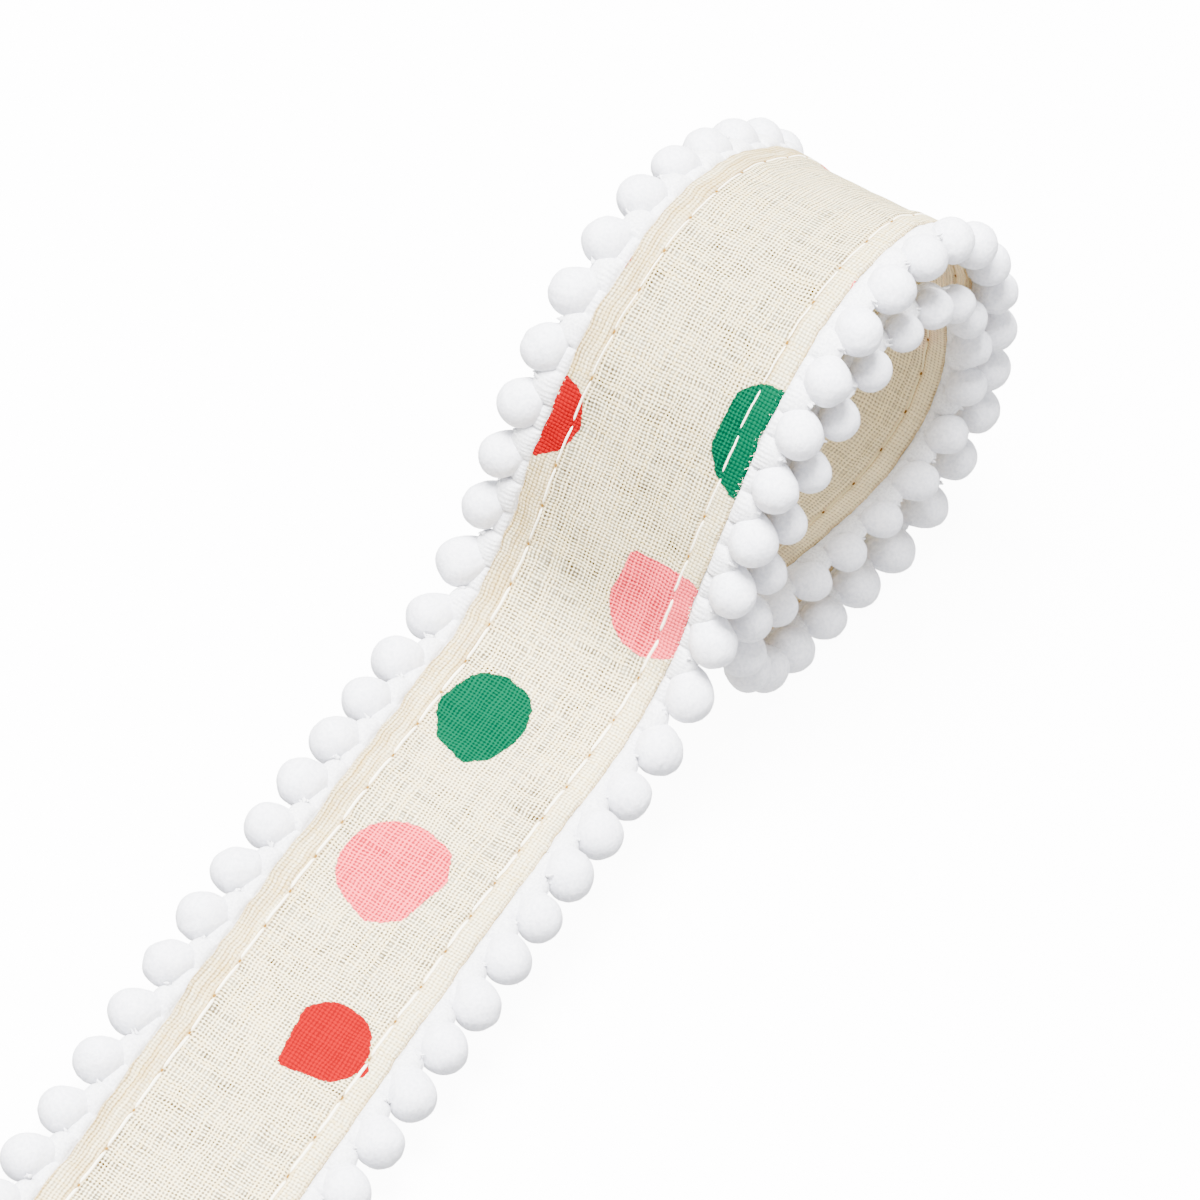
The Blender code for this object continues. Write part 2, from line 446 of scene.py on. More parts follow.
# %% Put the linen together
def woven_linen():
    """Unbleached linen, woven and pressed: dull threads in relief, with light coming through."""
    linen, tree, shader = new_material("linen_plain_weave", roughness=1.0, specular_ior_level=0.0)
    add = partial(add_node, tree)
    weave = weave_threads(add)
    on_face = add("Attribute", attribute_name=PRINT).outputs["Fac"]
    colour, in_shade = bare_cloth(add, weave, on_face)
    colour, bare = printed_cloth(add, weave, colour, in_shade, on_face)
    bump = add("Bump", {"Height": weave.height, "Strength": 0.8, "Distance": THREAD_RELIEF * MM})
    feed(shader, {"Base Color": colour, "Normal": bump})
    tinted_once = add("Gamma", {"Color": colour, "Gamma": 0.5})
    through = add("BsdfTranslucent", {"Color": tinted_once, "Normal": bump})
    passed = add("Math", (bare, LIGHT_THROUGH), "MULTIPLY", use_clamp=True)
    both = add("MixShader", (passed, shader, through))
    feed(tree.nodes["Material Output"], {"Surface": both})
    return linen


linen = woven_linen()
print("material:", linen.name, "with", len(linen.node_tree.nodes), "nodes")

# %% [markdown]
# ## Cotton and thread
#
# The pompoms are tufts of soft white yarn, cut and brushed into balls. Up close they are a fine
# nap without gloss, so the surface is fully rough with a trace of sheen at the edges, and faint
# clumps of fibre show in a soft bump. The heading is the same yarn knitted flat, so its grain is
# finer and it has no sheen. The threads are plain: they are too thin to show more than a colour.

# %% Brushed cotton, heading yarn and sewing thread
NAP_RELIEF = 0.18        # mm that the clumps stand up


def cotton_yarn(name, colour, clump_shade_colour, grain, sheen):
    """Cotton with clumps of fibre as wide as the grain, in mm, and painted shade between them."""
    cotton, tree, shader = new_material(
        name, roughness=0.97, specular_ior_level=0.05, sheen_weight=sheen, sheen_roughness=0.6)
    add = partial(add_node, tree)
    place = add("TexCoord").outputs["Object"]
    nap = add("TexNoise", {"Vector": place, "Scale": 1 / (grain * MM), "Detail": 4.0})
    fibre = add("MapRange", (nap, 0.35, 0.62))
    shade = add("Mix", {0: fibre, 6: linear(clump_shade_colour), 7: linear(colour)}, data_type="RGBA")
    bump = add("Bump", {"Height": nap, "Strength": 0.5, "Distance": NAP_RELIEF * MM})
    feed(shader, {"Base Color": shade.outputs[2], "Normal": bump})
    return cotton


# The second colour is the painted shade between the clumps, laid where the bump is low.
ball_cotton = cotton_yarn("brushed_cotton_pompom", "#DEDEE3", "#CDCED5", grain=0.45, sheen=0.06)
heading_cotton = cotton_yarn("knitted_cotton_heading", "#DEDEE0", "#C7C7CB", grain=0.32, sheen=0.0)
# Spun polyester is smooth, so it catches a little more light than the cloth.
sewing_thread = new_material(
    "polyester_sewing_thread", base_color=linear("#F6F0DA"), roughness=0.55,
    specular_ior_level=0.3, sheen_weight=0.1)[0]
# A needle hole shows the shade inside the hem.
needle_mark = new_material(
    "needle_hole_shadow", base_color=linear("#745422"), roughness=1.0, specular_ior_level=0.0)[0]
# The bobbin thread on the back is painted duller, in the colour of the cloth: painted shade, for where
# it lies in the roll's shade.
bobbin_thread = new_material(
    "bobbin_thread_painted_shade", base_color=linear("#E2D5AC"), roughness=0.7, specular_ior_level=0.2)[0]
for material in (ball_cotton, heading_cotton, sewing_thread, bobbin_thread, needle_mark):
    print("material:", material.name)

# %% [markdown]
# ## Sweeping a ring along a path
#
# Tape, thread, heading and ball are all one thing to a mesh: rings of points, one after the other,
# with quads between them and a cap at each end. So one function joins any number of such sweeps
# into one piece, and the steps below only have to say where the points are.


# %% Join sweeps into a piece
def around(count):
    """Angles of so many points round a ring."""
    return np.linspace(0, 2 * pi, count, endpoint=False)


def swept_faces(rings, sides, first):
    """Quads between closed rings of vertices, and a cap on each end."""
    ring, side = np.meshgrid(np.arange(rings - 1), np.arange(sides), indexing="ij")
    here = first + ring * sides + side
    beside = first + ring * sides + (side + 1) % sides
    quads = np.stack([here, beside, beside + sides, here + sides], axis=-1).reshape(-1, 4).tolist()
    last = first + (rings - 1) * sides
    return quads + [list(range(first + sides - 1, first - 1, -1)), list(range(last, last + sides))]


def add_piece(name, points, faces, material):
    """A smooth piece from points in mm, riding on the part's one body."""
    mesh = bpy.data.meshes.new(name)
    mesh.from_pydata((np.asarray(points) * MM).tolist(), [], faces)
    tidy = bmesh.new()
    tidy.from_mesh(mesh)
    bmesh.ops.recalc_face_normals(tidy, faces=tidy.faces)
    tidy.to_mesh(mesh)
    tidy.free()
    mesh.polygons.foreach_set("use_smooth", np.ones(len(mesh.polygons), bool))
    mesh.materials.append(material)
    piece = add_object(name, mesh)
    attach(piece, BODY)
    triangles = sum(len(face.vertices) - 2 for face in mesh.polygons)
    print(f"{name}: {len(mesh.vertices)} vertices, {triangles} triangles")
    return piece


def add_sweeps(name, sweeps, material):
    """One piece from several sweeps, each an array of rings by sides by x, y, z, in mm."""
    faces = []
    first = 0
    for sweep in sweeps:
        faces += swept_faces(sweep.shape[0], sweep.shape[1], first)
        first += sweep.shape[0] * sweep.shape[1]
    points = np.concatenate([sweep.reshape(-1, 3) for sweep in sweeps])
    return add_piece(name, points, faces, material)


def tube(line, aside, upwards, radius, sides):
    """A sweep round a line of points, in the plane of two directions."""
    turn = around(sides)[:, None]
    ring = aside[..., None, :] * np.cos(turn) + upwards[..., None, :] * np.sin(turn)
    return line[:, None] + ring * radius[:, None, None]


def waviness(distances, wavelength, seed):
    """A smooth wandering number between about -1 and 1 for each distance in mm."""
    draw = np.random.default_rng(seed)
    total = np.zeros_like(np.asarray(distances, float))
    for size in (1.0, 0.62, 0.37):
        total += size * np.sin(2 * pi * distances / (wavelength * size) + draw.uniform(0, 2 * pi))
    return total / 2


# %% [markdown]
# ## The stitching lines
#
# Where the needle went comes before the cloth, because every stitch pulls the hem in a little and
# the cloth is modelled with those dimples. The stitches are long, five to six millimetres, and no
# two are quite the same.

# %% Needle holes along each hem
STITCH = 5.8             # mm, on average
STITCH_DRIFT = 0.3       # mm longer or shorter
LINE_DRIFT = 0.14        # mm that the sewing strays from its line

# The first pompom and their pitch, then the first needle hole and the gap between two stitches.
Row = namedtuple("Row", "name side first pitch first_hole hole_gap")
ROWS = [
    Row("left", -1, 7.9, 7.54, 3.8, 0.45),
    Row("right", 1, 2.9, 7.28, 1.4, 0.95),
]


def needle_holes(row):
    """Distances along the tape at which the needle went through."""
    holes = [row.first_hole]
    while holes[-1] < LENGTH - STITCH:
        drift = STITCH_DRIFT * float(waviness(holes[-1], 60.0, row.side + 5))
        holes.append(holes[-1] + STITCH + drift)
    return np.array(holes)


def stitch_line(row, distances):
    """Where across the tape the sewing runs."""
    line_drift = LINE_DRIFT * waviness(distances, 75.0, row.side + 15)
    return SEWN_ASIDE + row.side * SEAM + line_drift


HOLES = {row.name: needle_holes(row) for row in ROWS}
print("needle holes:", {name: len(holes) for name, holes in HOLES.items()})

# %% [markdown]
# ## The tape
#
# On the real tape each edge is turned under and stitched down, with the pompom heading caught
# between the layers. A flat strip with a thickness would lose that. So the ring that is swept here
# is the true section: one layer in the middle, a fuller hem at each side, a dip where the stitches
# pull it in, and a slot in the very edge for the heading to come out of. Each vertex also keeps
# its place on the flat cloth, in millimetres, for the weave and the print.

# %% Shape of the cloth
LAYER = 0.22             # mm from the middle to the face of one layer
HEM = 0.50               # mm from the middle to the face of the hem
EDGE_ROUND = 0.45        # mm over which the folded edge is round
SLOT_DEPTH = 0.9         # mm that the slot for the heading reaches in
LIP = 0.10               # mm, half as wide as the slot
HEM_FACE = 3.1           # mm from the edge that the hem is full on the face
HEM_EASE = 2.3           # mm over which it thins there to one layer
HEM_BEHIND = 4.3         # mm that the turning reaches in from the edge behind
PULL = 0.17              # mm that a stitch sinks into the hem
PULL_REACH = 0.34
PUFF = 0.16              # share that the hem swells between two holes and is nipped at each
PUFF_REACH = 1.3
TAPE_STATION = 0.65


def cloth_height(distances, across, behind):
    """Height of the face, or of the back, over the middle of the cloth, in mm."""
    inwards = HALF_WIDTH - np.abs(across)
    from_seam = np.abs(across - SEWN_ASIDE) - SEAM
    rounding = np.sqrt(1 - np.clip(1 - inwards / EDGE_ROUND, 0, 1) ** 2)
    step_behind = (inwards - HEM_BEHIND) / 0.2 + 0.5
    share = np.clip(np.where(behind, step_behind, (inwards - HEM_FACE) / HEM_EASE), 0, 1)
    fullness = HEM + (LAYER - HEM) * share * share * (3 - 2 * share)
    left_hole, right_hole = [
        np.interp(distances, HOLES[row.name], np.arange(len(HOLES[row.name]))) for row in ROWS]
    hole = np.where(across < 0, left_hole, right_hole)
    puff = 1 - PUFF * np.exp(-(from_seam / PUFF_REACH) ** 2) * np.cos(2 * pi * hole)
    pull = PULL * np.exp(-(from_seam / PULL_REACH) ** 2)
    return (LIP + (fullness - LIP) * rounding - pull) * puff


def on_cloth(distances, across, behind, rise):
    """Points raised so much off the face, or off the back, of the soft and slightly wavy cloth."""
    distances, across, behind = np.broadcast_arrays(distances, across, behind)
    inwards = HALF_WIDTH - np.abs(across)
    # Each wave has its height in mm before it, and its length in mm and its seed in it.
    edge_wave = np.where(
        across < 0,
        0.26 * waviness(distances, 17.0, 1) + 0.11 * waviness(distances, 5.2, 2),
        0.18 * waviness(distances, 19.0, 3) + 0.10 * waviness(distances, 4.6, 4))
    edge_wave = edge_wave + 0.05 * waviness(distances, 3.1, 9)
    spread = np.sign(across) * edge_wave * np.clip(1 - inwards / 6.0, 0, 1) ** 1.5
    swell = (0.13 * waviness(distances + across * 0.6, 16.0, 6)
             + 0.08 * waviness(distances * 0.4 - across, 7.0, 7))
    ripple = 0.10 * waviness(distances, 6.1, 8) * np.sign(across)
    lift = swell * np.clip(inwards / 4.0, 0, 1) + ripple * np.clip(1 - inwards / 3.5, 0, 1)
    return on_tape(distances, across + spread, lift + np.where(behind, -rise, rise))


# Distances in from the edge, closer together where the hem has its shape.
half_section = np.array([
    0.0, 0.05, 0.18, 0.4, 0.8, 1.3, 1.8, 2.2, 2.45, 2.68, 2.92, 3.2, 3.5, 3.8, 4.1,
    4.2, 4.4, 4.9, 5.6, 6.4, 7.2, 8.0, 8.8, 9.6, 10.5, 11.5])
right_half = HALF_WIDTH - half_section
face_line = np.concatenate([-right_half, [0.0], right_half[::-1]])
slot = HALF_WIDTH - SLOT_DEPTH
section_across = np.concatenate([face_line, [slot], face_line[::-1], [-slot]])
section_behind = np.arange(len(section_across)) > len(face_line)
in_slot = np.isin(np.arange(len(section_across)), (len(face_line), len(section_across) - 1))
print("section:", len(section_across), "points round")

# %% Sweep the tape
stations = np.linspace(0.0, LENGTH, int(LENGTH / TAPE_STATION) + 1)
distance, across = np.meshgrid(stations, section_across, indexing="ij")
behind = np.broadcast_to(section_behind, across.shape)
height = np.where(in_slot, 0.0, cloth_height(distance, across, behind))
tape = add_sweeps("linen_tape", [on_cloth(distance, across, behind, height)], linen)
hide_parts("tape")

# %% [markdown]
# ## The printed dots
#
# The dots look brushed on by hand: each is nearly round, with a blunt corner here and a flat side
# there, and some run off the edge. Painting them into the mesh would need very small faces. Instead
# every vertex stores how far it is from the nearest dot of each ink, and the shader inks the
# threads where that distance is below zero, so the outline stays sharp between the vertices. A
# dot's number in the list seeds its unevenness, so a new dot goes at the end.

# %% Place the dots
# Middle and half sizes in mm, angles of corners, and flats with their share of the half size.
Dot = namedtuple("Dot", "ink along across long wide corners flats", defaults=((), ()))
DOTS = [Dot(*row) for row in (
    ("green", 6.5, 6, 5.6, 5.2),
    ("red", 46.9, 4.6, 5.2, 5.1, (211,), ((264, 0.80), (170, 0.93))),
    ("pink", 71, -0.9, 7.05, 6.45, (37, 173), ((104, 0.83),)),
    ("green", 96.6, -3.5, 7.1, 5.25, (), ((112, 0.94), (194, 0.93), (288, 0.95))),
    ("pink", 120.4, 8.5, 6.6, 5.9, (315,), ((0, 0.86),)),
    ("red", 136.7, -12.8, 5.5, 4.3),
    ("green", 145.4, 12.7, 7.2, 5.6),
    ("red", 157.3, -15.2, 3.3, 2.8),
    ("pink", 168.7, 16, 4.6, 3.4),
    ("pink", 203, -5, 6.4, 5.7, (130,)),
    ("green", 222, 6.5, 6.1, 5.3),
    ("red", 240, -7.5, 5.4, 5, (300,)),
    ("pink", 258, 9, 6.3, 5.4),
    ("green", 281, -1.5, 6.4, 5.6),
    ("red", 300, 11.5, 5.2, 4.9),
    ("pink", 312, -9, 6.5, 5.5, (70,)),
    ("green", 334, 4.5, 6, 5.5),
    ("red", 352, -6, 5.5, 5, (160,)),
    ("pink", 374, 6, 6.6, 5.6),
    ("green", 397, -4.5, 6.2, 5.4),
    ("red", 418, 7.5, 5.3, 5.1, (250,)),
    ("red", 45.9, 10, 0.9, 0.55))]
DOT_WOBBLE = 0.045       # of its radius, for the longest waves round its outline
CORNER = 41.0            # degrees from a lone corner to where the outline is round again
BLUNT = 2.4              # degrees over which the tip of a lone corner is rounded
print(len(DOTS), "dots:", {ink: sum(dot.ink == ink for dot in DOTS) for ink in INKS})


def distance_from(dot, along, across, seed):
    """Distance in mm from a dot's outline, below zero inside it."""
    draw = np.random.default_rng(seed)
    forwards = (along - dot.along) / dot.long
    sideways = (across - dot.across) / dot.wide
    angle = np.arctan2(sideways, forwards)
    outline = np.ones_like(angle)
    for wave, share in ((2, 1.0), (3, 1.0), (5, 0.8), (8, 0.4), (13, 0.3)):
        wobble = DOT_WOBBLE * share * draw.uniform(0.3, 1.0) / (1 + len(dot.corners))
        outline += wobble * np.cos(wave * angle + draw.uniform(0, 2 * pi))
    for corner in dot.corners:
        off = (angle - radians(corner) + pi) % (2 * pi) - pi
        off = np.hypot(off, radians(BLUNT) * len(dot.corners) ** 1.5)
        outline /= np.cos(np.clip(radians(CORNER) / len(dot.corners) ** 0.35 - off, 0, None))
    for facing, out in dot.flats:
        outline = np.minimum(outline, out / np.maximum(np.cos(angle - radians(facing)), 0.05))
    return (np.hypot(forwards, sideways) - outline) * (dot.long + dot.wide) / 2


# %% Store cloth coordinates and ink distances
FAR_AWAY = 5.0
along_flat = distance.ravel()
across_flat = across.ravel()
for ink in INKS:
    nearest = np.full(len(along_flat), FAR_AWAY)
    for number, dot in enumerate(DOTS):
        if dot.ink == ink:
            nearest = np.minimum(nearest, distance_from(dot, along_flat, across_flat, number))
    tape.data.attributes.new(f"from_{ink}", "FLOAT", "POINT").data.foreach_set("value", nearest)
    print("printed", ink, "on", int((nearest < 0).sum()), "vertices")

BLEED_THROUGH = 0.05     # of the ink that shows on the back
print_strength = np.where(behind.ravel(), BLEED_THROUGH, 1.0)
tape.data.attributes.new(PRINT, "FLOAT", "POINT").data.foreach_set("value", print_strength)

corners = np.zeros(len(tape.data.loops), int)
tape.data.loops.foreach_get("vertex_index", corners)
flat_places = np.stack([across_flat[corners], along_flat[corners]], axis=-1)
tape.data.uv_layers.new(name=COORDINATES).data.foreach_set("uv", flat_places.ravel())

# %% [markdown]
# ## The stitches
#
# A lockstitch shows as a short bar of thread on each side of the cloth, that comes out of one
# needle hole and goes down the next. Each bar lies a little aslant in its row, thins towards its
# ends and dives into the holes. A tube of even thickness would look like wire, so the bar is oval.
# Where the cloth is bent over the roll, the thread is drawn tighter and lies deeper.

# %% Lay the stitches
THREAD_WIDTH = 0.20      # mm, half of the oval's width
THREAD_HEIGHT = 0.17
STITCH_RINGS = 11
STITCH_SIDES = 8
SLANT = 0.07             # mm that each end lies to the side of the line
STAND = 0.09             # mm from the cloth to the middle of the thread, on the tail
SINK_ON_ROLL = 0.10
TAIL_ENDS = 110.0        # mm from the free end to where the cloth starts to roll
TAIL_TO_ROLL = 40.0


def on_roll(places):
    """0 along the tail, 1 on the roll."""
    return np.clip((np.asarray(places, float) - TAIL_ENDS) / TAIL_TO_ROLL, 0, 1)


def stitch(row, start, end, behind):
    """Rings of one bar of thread between two needle holes."""
    share = np.linspace(0, 1, STITCH_RINGS)[:, None]
    to_end = np.abs(2 * share - 1)
    gap = row.hole_gap * (1 - 0.8 * float(on_roll(start)))
    places = start + gap / 2 + (end - start - gap) * share
    line = stitch_line(row, places) + (share - 0.5) * 2 * SLANT
    taper = np.sqrt(1 - to_end ** 8 * 0.92)
    dive = 0.16 * to_end ** 9 + SINK_ON_ROLL * on_roll(places)
    turn = around(STITCH_SIDES)
    rise = cloth_height(places, line, behind) + STAND - dive + THREAD_HEIGHT * taper * np.sin(turn)
    width = THREAD_WIDTH * (1 - 0.4 * on_roll(places)) * taper
    return on_cloth(places, line + width * np.cos(turn), behind, rise)


def stitched_line(behind):
    """Every stitch of both rows, on the face or on the back."""
    return [stitch(row, start, end, behind)
            for row in ROWS for start, end in zip(HOLES[row.name][:-1], HOLES[row.name][1:])]


stitches_face = add_sweeps("stitches_face", stitched_line(False), sewing_thread)
stitches_back = add_sweeps("stitches_back", stitched_line(True), bobbin_thread)

# %% Mark the needle holes
HOLE_RADIUS = 0.26
HOLE_SIDES = 10
BUTTON = ((0.04, 0.035), (HOLE_RADIUS * 0.8, 0.03), (HOLE_RADIUS, 0.0), (0.04, -0.08))


def needle_hole(row, place, behind):
    """A dark little button of no height to speak of, laid in the dip between two stitches."""
    turn = around(HOLE_SIDES)
    radius, rise = np.array(BUTTON).T[..., None]
    line = stitch_line(row, place)
    height = cloth_height(place, line, behind)
    return on_cloth(place + radius * np.cos(turn), line + radius * np.sin(turn), behind, height + rise)


def is_printed(row, place):
    """Whether a hole is under ink, which covers its shade."""
    across = stitch_line(row, place)
    return any(distance_from(dot, place, across, number) < 0.3 for number, dot in enumerate(DOTS))


marks = [needle_hole(row, place, behind)
         for row in ROWS for place in HOLES[row.name][1:-1] for behind in (False, True)
         if behind or not is_printed(row, place)]
needle_marks = add_sweeps("needle_holes", marks, needle_mark)

# %% [markdown]
# ## The headings
#
# The pompoms hang from a soft knitted heading, of which about three millimetres show beyond the
# cloth. It swells into one large lobe and one small one at each pompom and is nipped in by the
# tying yarn before the next. The tufts lean towards the free end, so the lobes lie a little
# towards the roll. Fine ribs of yarn run outwards over it. A straight bead would miss the scalloped
# line, so the section's reach and fullness follow the places of the balls.

# %% Sweep the headings
POM_REACH = 3.85         # mm from the tape's edge to a pompom's centre
POM_DROP = 0.5           # mm that it hangs behind the tape's middle
RIB_PITCH = 0.56
HEADING_STATION = RIB_PITCH / 4
HEADING_ROUND = 10       # points over the top of the section, and again below
ROOT_DEPTH = 0.7         # mm that the heading reaches into the slot
LEAN_TAIL = 1.15
LEAN_ROLL = 0.30
LOBE = 4.2               # mm along the tape, for the large one
LOBE_ROUND = 2.2         # 2 would make it round, and more makes it squarer
LOBE_SHIFT = 1.5         # mm that a lobe moves into the notch on the roll


def lean(places):
    """How far the notch between two balls is shifted towards the roll, in mm."""
    return LEAN_TAIL + (LEAN_ROLL - LEAN_TAIL) * on_roll(places)


def pompom_places(row):
    """Distances along the tape of the pompoms of one row."""
    count = int((LENGTH - row.first - 2.7) / row.pitch) + 1
    return row.first + row.pitch * np.arange(count)


def heading(row):
    """Rings of one heading: from the root in the slot, out over the top and back below."""
    places = np.linspace(0.15, LENGTH - 0.15, int(LENGTH / HEADING_STATION))
    shift = lean(places) + LOBE_SHIFT * on_roll(places)
    from_notch = ((places - shift - row.first) / row.pitch % 1.0 - 0.5) * row.pitch
    rest = row.pitch - LOBE
    beside = (from_notch - 0.35) % row.pitch - rest / 2
    lobe, small_lobe = [
        np.sqrt(np.clip(1 - np.abs(offset) ** LOBE_ROUND, 0, 1))
        for offset in ((from_notch + 1.75) / (LOBE / 2), beside / rest * 2)]
    reach = (1.55 + (1.5 + 0.6 * on_roll(places)) * lobe + 0.55 * small_lobe
             + 0.10 * waviness(places, 11.0, 20 + row.side))
    fullness = 0.25 + 1.00 * lobe + 0.50 * small_lobe + 0.05 * waviness(places, 3.7, 30 + row.side)
    out = (1 - np.cos(pi * np.arange(HEADING_ROUND) / (HEADING_ROUND - 1))) / 2
    profile = np.sqrt(1 - np.abs(2 * out - 1) ** 2.1)
    profile[0] = 0.12
    strength = 0.050 + 0.030 * waviness(places, 23.0, 50 + row.side)
    ribs = strength * np.sin(2 * pi * places / RIB_PITCH + 2.2 * waviness(places, 5.0, 40 + row.side))
    rib_fade = np.clip(1.4 - 1.6 * out, 0, 1) * (profile > 0.2)
    half = fullness[:, None] * profile + ribs[:, None] * rib_fade
    sink = -0.08 - 0.30 * out
    outwards = reach[:, None] * out
    column = np.ones((len(places), 1))
    across = np.concatenate([-ROOT_DEPTH * column, outwards, outwards[:, ::-1]], axis=1)
    up = np.concatenate([-0.02 * column, sink + half, (sink - half)[:, ::-1]], axis=1)
    distances = np.broadcast_to(places[:, None], across.shape)
    return on_tape(distances, row.side * (HALF_WIDTH + across), up)


for row in ROWS:
    add_sweeps(f"heading_{row.name}", [heading(row)], heading_cotton)
    stands_for = [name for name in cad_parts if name.startswith(f"trim_{row.name}_")]
    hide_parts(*stands_for)
    print("stands for", sorted(stands_for))

# %% [markdown]
# ## The pompoms
#
# Each pompom is a tuft tied at its root and trimmed round, so it is a ball with a blunt tail that
# runs back into the heading. Scaled copies of one ball would look moulded. Here every ball gets
# its own size, tilt, soft lumps and one to three creases where the yarn parts, all drawn from a
# fixed seed. It is pressed flat where it stands on the floor, and the balls that are packed inside
# the roll are a little smaller.

# %% Shape of one pompom
POM_RADIUS = 2.90
INNER_TURN = 305.0       # mm from the free end to where the trim lies inside the roll
INNER_SHARE = 0.85       # of the full radius, for the pompoms pressed together there
POM_RINGS = 30
POM_SEGMENTS = 44
NECK_LENGTH = 0.6        # mm that the tail adds to the ball
NECK_BY_LEAN = 0.9       # and more by so much for each mm of lean
NECK_SWEEP = 54          # degrees that the tail points towards the roll
FLOOR_CLEARANCE = 0.01

Ball = namedtuple("Ball", "centre neck side front radius neck_length waves creases")


def unit(vectors):
    """The same directions, each of length 1."""
    return vectors / np.linalg.norm(vectors, axis=-1, keepdims=True)


def draw_ball(row, place, draw):
    """A pompom's place, directions and unevenness, from its row, its distance and a random source."""
    middle, along, across, face = course_at(place)
    outwards = across * row.side
    centre = middle + outwards * (HALF_WIDTH + POM_REACH) - face * POM_DROP
    sweep = radians(draw.normal(NECK_SWEEP, 4))
    neck = unit(along * sin(sweep) - outwards * cos(sweep) + face * draw.normal(-0.20, 0.05))
    neck_length = NECK_LENGTH + NECK_BY_LEAN * float(lean(place))
    side = unit(np.cross(neck, face))
    waves = [(draw.normal(0, 1.0, 3) * size, draw.uniform(0, 2 * pi), depth)
             for size, depth in ((1.4, 0.024), (2.2, 0.018), (3.2, 0.012), (6.5, 0.006), (8.5, 0.004))]
    creases = [(draw.uniform(0, 2 * pi), draw.uniform(0.07, 0.12), draw.uniform(0.012, 0.032),
                draw.uniform(0.8, 2.2)) for _ in range(draw.integers(1, 4))]
    pressed = np.clip((place - INNER_TURN) / 15.0 + 0.5, 0, 1)
    radius = POM_RADIUS * draw.normal(1.0, 0.018) * (1 - (1 - INNER_SHARE) * pressed)
    return Ball(centre, neck, side, np.cross(side, neck), radius, neck_length, waves, creases)


def ball_skin(ball, polar, turn):
    """Points on a pompom's surface: polar is the angle from its neck, turn the angle round it."""
    nearness = (1 + np.cos(polar)) / 2
    stretch = np.cos(polar) + ball.neck_length / ball.radius * nearness ** 4
    girth = np.sin(polar) * (1 - 0.08 * nearness ** 4)
    shape = (ball.neck * stretch[..., None] + ball.side * (girth * np.cos(turn))[..., None]
             + ball.front * (girth * np.sin(turn))[..., None])
    swell = np.ones_like(polar)
    for wave, phase, depth in ball.waves:
        swell += depth * np.sin(shape @ wave + phase)
    for angle, width, depth, reach in ball.creases:
        off = (turn - angle + 0.35 * np.sin(polar * 1.7) + pi) % (2 * pi) - pi
        fade = np.clip((reach - polar) / 0.6, 0, 1)
        swell -= depth * fade * np.exp(-(off * np.sin(polar) / width) ** 2)
    points = ball.centre + ball.radius * shape * swell[..., None]
    points[..., 2] = np.maximum(points[..., 2], FLOOR_CLEARANCE)
    return points


# %% Set the pompoms along both headings
polar_steps = np.linspace(0.04, pi - 0.04, POM_RINGS)
turn_steps = around(POM_SEGMENTS)
polar, turn = np.meshgrid(polar_steps, turn_steps, indexing="ij")
balls = {}
for row in ROWS:
    draw = np.random.default_rng(100 + row.side)
    balls[row.name] = [draw_ball(row, place, draw) for place in pompom_places(row)]
    skins = [ball_skin(ball, polar, turn) for ball in balls[row.name]]
    add_sweeps(f"pompoms_{row.name}", skins, ball_cotton)
    print(len(skins), "pompoms on the", row.name)

# %% [markdown]
# ## Nap
#
# Brushed cotton has a nap: thousands of fibre ends that soften its outline. Hair particles would
# do it, but they don't travel with an exported mesh, so each fibre end is one thin spike.

# %% Brush up the nap
FIBRES = 170             # on each pompom
FIBRE_RADIUS = 0.022
FIBRE_LENGTH = (0.12, 0.34)
FIBRE_SPREAD = 0.55


def add_spikes(name, spikes, material):
    """One piece from spikes, each three corners of its base and its tip, in mm."""
    first = 4 * np.arange(len(spikes))[:, None]
    faces = np.concatenate([first + corner for corner in ((0, 1, 3), (1, 2, 3), (2, 0, 3), (2, 1, 0))])
    return add_piece(name, spikes.reshape(-1, 3), faces.tolist(), material)


def fibres(ball, draw):
    """Base corners and tips of the fibre ends on one pompom."""
    polar = np.arccos(draw.uniform(-1, 0.75, FIBRES))
    turn = draw.uniform(0, 2 * pi, FIBRES)
    root = ball_skin(ball, polar, turn)
    outwards = unit(root - ball.centre)
    lay = unit(outwards + draw.normal(0, FIBRE_SPREAD, (FIBRES, 3)))
    aside = unit(np.cross(lay, draw.normal(0, 1, (FIBRES, 3))))
    other = np.cross(lay, aside)
    tip = root + lay * draw.uniform(*FIBRE_LENGTH, FIBRES)[:, None]
    corners = [root - outwards * 0.04 + FIBRE_RADIUS * (aside * cos(a) + other * sin(a))
               for a in around(3)]
    points = np.stack([*corners, tip], axis=1)
    points[..., 2] = np.maximum(points[..., 2], FLOOR_CLEARANCE)
    return points


for row in ROWS:
    draw = np.random.default_rng(200 + row.side)
    spikes = np.concatenate([fibres(ball, draw) for ball in balls[row.name]])
    add_spikes(f"nap_{row.name}", spikes, ball_cotton)

# %% [markdown]
# ## Loose fibres and cut ends
#
# Linen sheds: short fibres stand out from the folded edges, and where the tape is cut across, its
# yarns end in a row of stubs. A smooth edge would look like plastic. The fibres are spikes, as in
# the nap, and the stubs are little tubes that thin and bend.

# %% Loose fibres along the hems
HEM_FIBRES = 1300        # along each edge
HEM_FIBRE_WIDTH = 0.05   # mm, half of a fibre's
draw = np.random.default_rng(400)
# Single fibres of linen look paler than the cloth, because no shade lies between them.
linen_fibre = new_material(
    "loose_linen_fibre", base_color=linear("#F2E6C4"), roughness=0.95, specular_ior_level=0.0)[0]


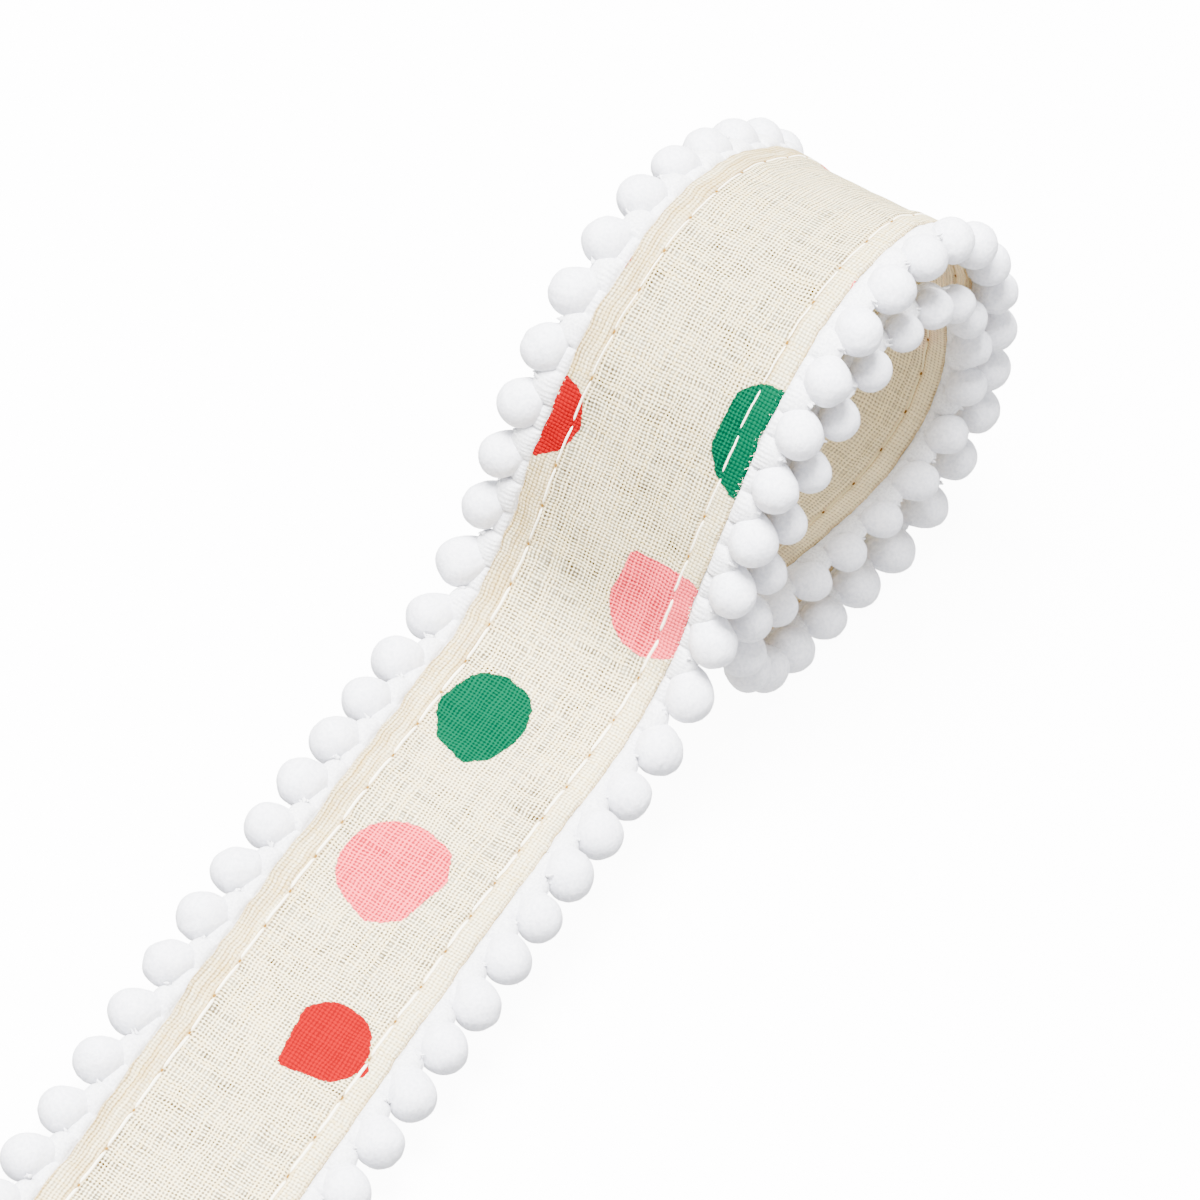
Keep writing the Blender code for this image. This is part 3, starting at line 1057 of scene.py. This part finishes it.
def hem_fibres(row, draw):
    """Base corners and tips of the fibre ends along one edge."""
    places = draw.uniform(0.5, LENGTH - 0.5, HEM_FIBRES)
    inwards = draw.uniform(0.0, 0.5, HEM_FIBRES)
    slant = draw.normal(0, 0.35, HEM_FIBRES)
    poke = inwards - draw.uniform(0.15, 0.5, HEM_FIBRES)
    root = row.side * (HALF_WIDTH - inwards)
    height = cloth_height(places, root, False)
    corners = (
        (places + HEM_FIBRE_WIDTH, root, height),
        (places - HEM_FIBRE_WIDTH, root, height),
        (places, root, height - 0.08),
        (places + slant, row.side * (HALF_WIDTH - poke), height * 0.6 + 0.02))
    return np.stack([on_cloth(along, out, False, rise) for along, out, rise in corners], axis=1)


add_spikes("hem_fibres", np.concatenate([hem_fibres(row, draw) for row in ROWS]), linen_fibre)

# %% Yarn ends where the cloth is cut
CUT_YARNS = 52           # across each end of the tape
YARN_RADIUS = 0.13


def yarn_end(place, outwards, across, draw):
    """A short end of yarn that sticks out of a cut end of the cloth and droops a little."""
    share = np.linspace(0, 1, 5)
    length = draw.uniform(0.4, 1.3)
    _, along, side, face = course_at(place)
    root = on_cloth(place, across, False, 0.0)
    bend = draw.normal(0, 0.25, 2) * length
    line = (root + np.outer(outwards * (length * share - 0.4), along)
            + np.outer(bend[0] * share ** 2, side) + np.outer(np.abs(bend[1]) * share ** 2, face))
    return tube(line, side, face, YARN_RADIUS * (1 - 0.7 * share ** 2), 5)


yarn_ends = [yarn_end(place, outwards, across, draw)
             for place, outwards in ((0.0, -1), (LENGTH, 1))
             for across in np.linspace(0.5 - HALF_WIDTH, HALF_WIDTH - 0.5, CUT_YARNS)]
add_sweeps("cut_yarn_ends", yarn_ends, linen_fibre)

# %% [markdown]
# ## Tie threads
#
# In the notch between two balls the ends of the tying yarn stick out in a little tuft. One lump
# would read as a smaller ball, so each end is a tube that curls a little.

# %% Tie the tufts
TIE_RADIUS = 0.23
TIE_LENGTH = (0.5, 1.1)
TIE_RINGS = 6
TIE_SIDES = 6
TIES_IN_A_NOTCH = 6


def tie_end(row, place, draw):
    """One end of the tying yarn, curling out of the notch on a pompom's free-end side."""
    notch = place - row.pitch / 2 + float(lean(place)) + draw.normal(0, 0.18)
    share = np.linspace(0, 1, TIE_RINGS)
    length = draw.uniform(*TIE_LENGTH)
    curl = draw.uniform(0, 2 * pi)
    distances = notch + 0.45 * length * share ** 2 * np.cos(curl)
    root = HALF_WIDTH + 1.7 + 1.3 * float(on_roll(place)) + draw.normal(0, 0.15)
    outwards = root + length * share * 0.8
    upwards = draw.normal(0.15, 0.3) + 0.5 * length * share ** 2 * np.sin(curl)
    line = on_tape(distances, row.side * outwards, upwards)
    _, along, _, face = course_at(distances)
    return tube(line, along, face, TIE_RADIUS * (1 - 0.55 * share ** 2), TIE_SIDES)


ties = []
for row in ROWS:
    draw = np.random.default_rng(300 + row.side)
    for place in pompom_places(row):
        ties += [tie_end(row, place, draw) for _ in range(TIES_IN_A_NOTCH)]
add_sweeps("tie_threads", ties, heading_cotton)
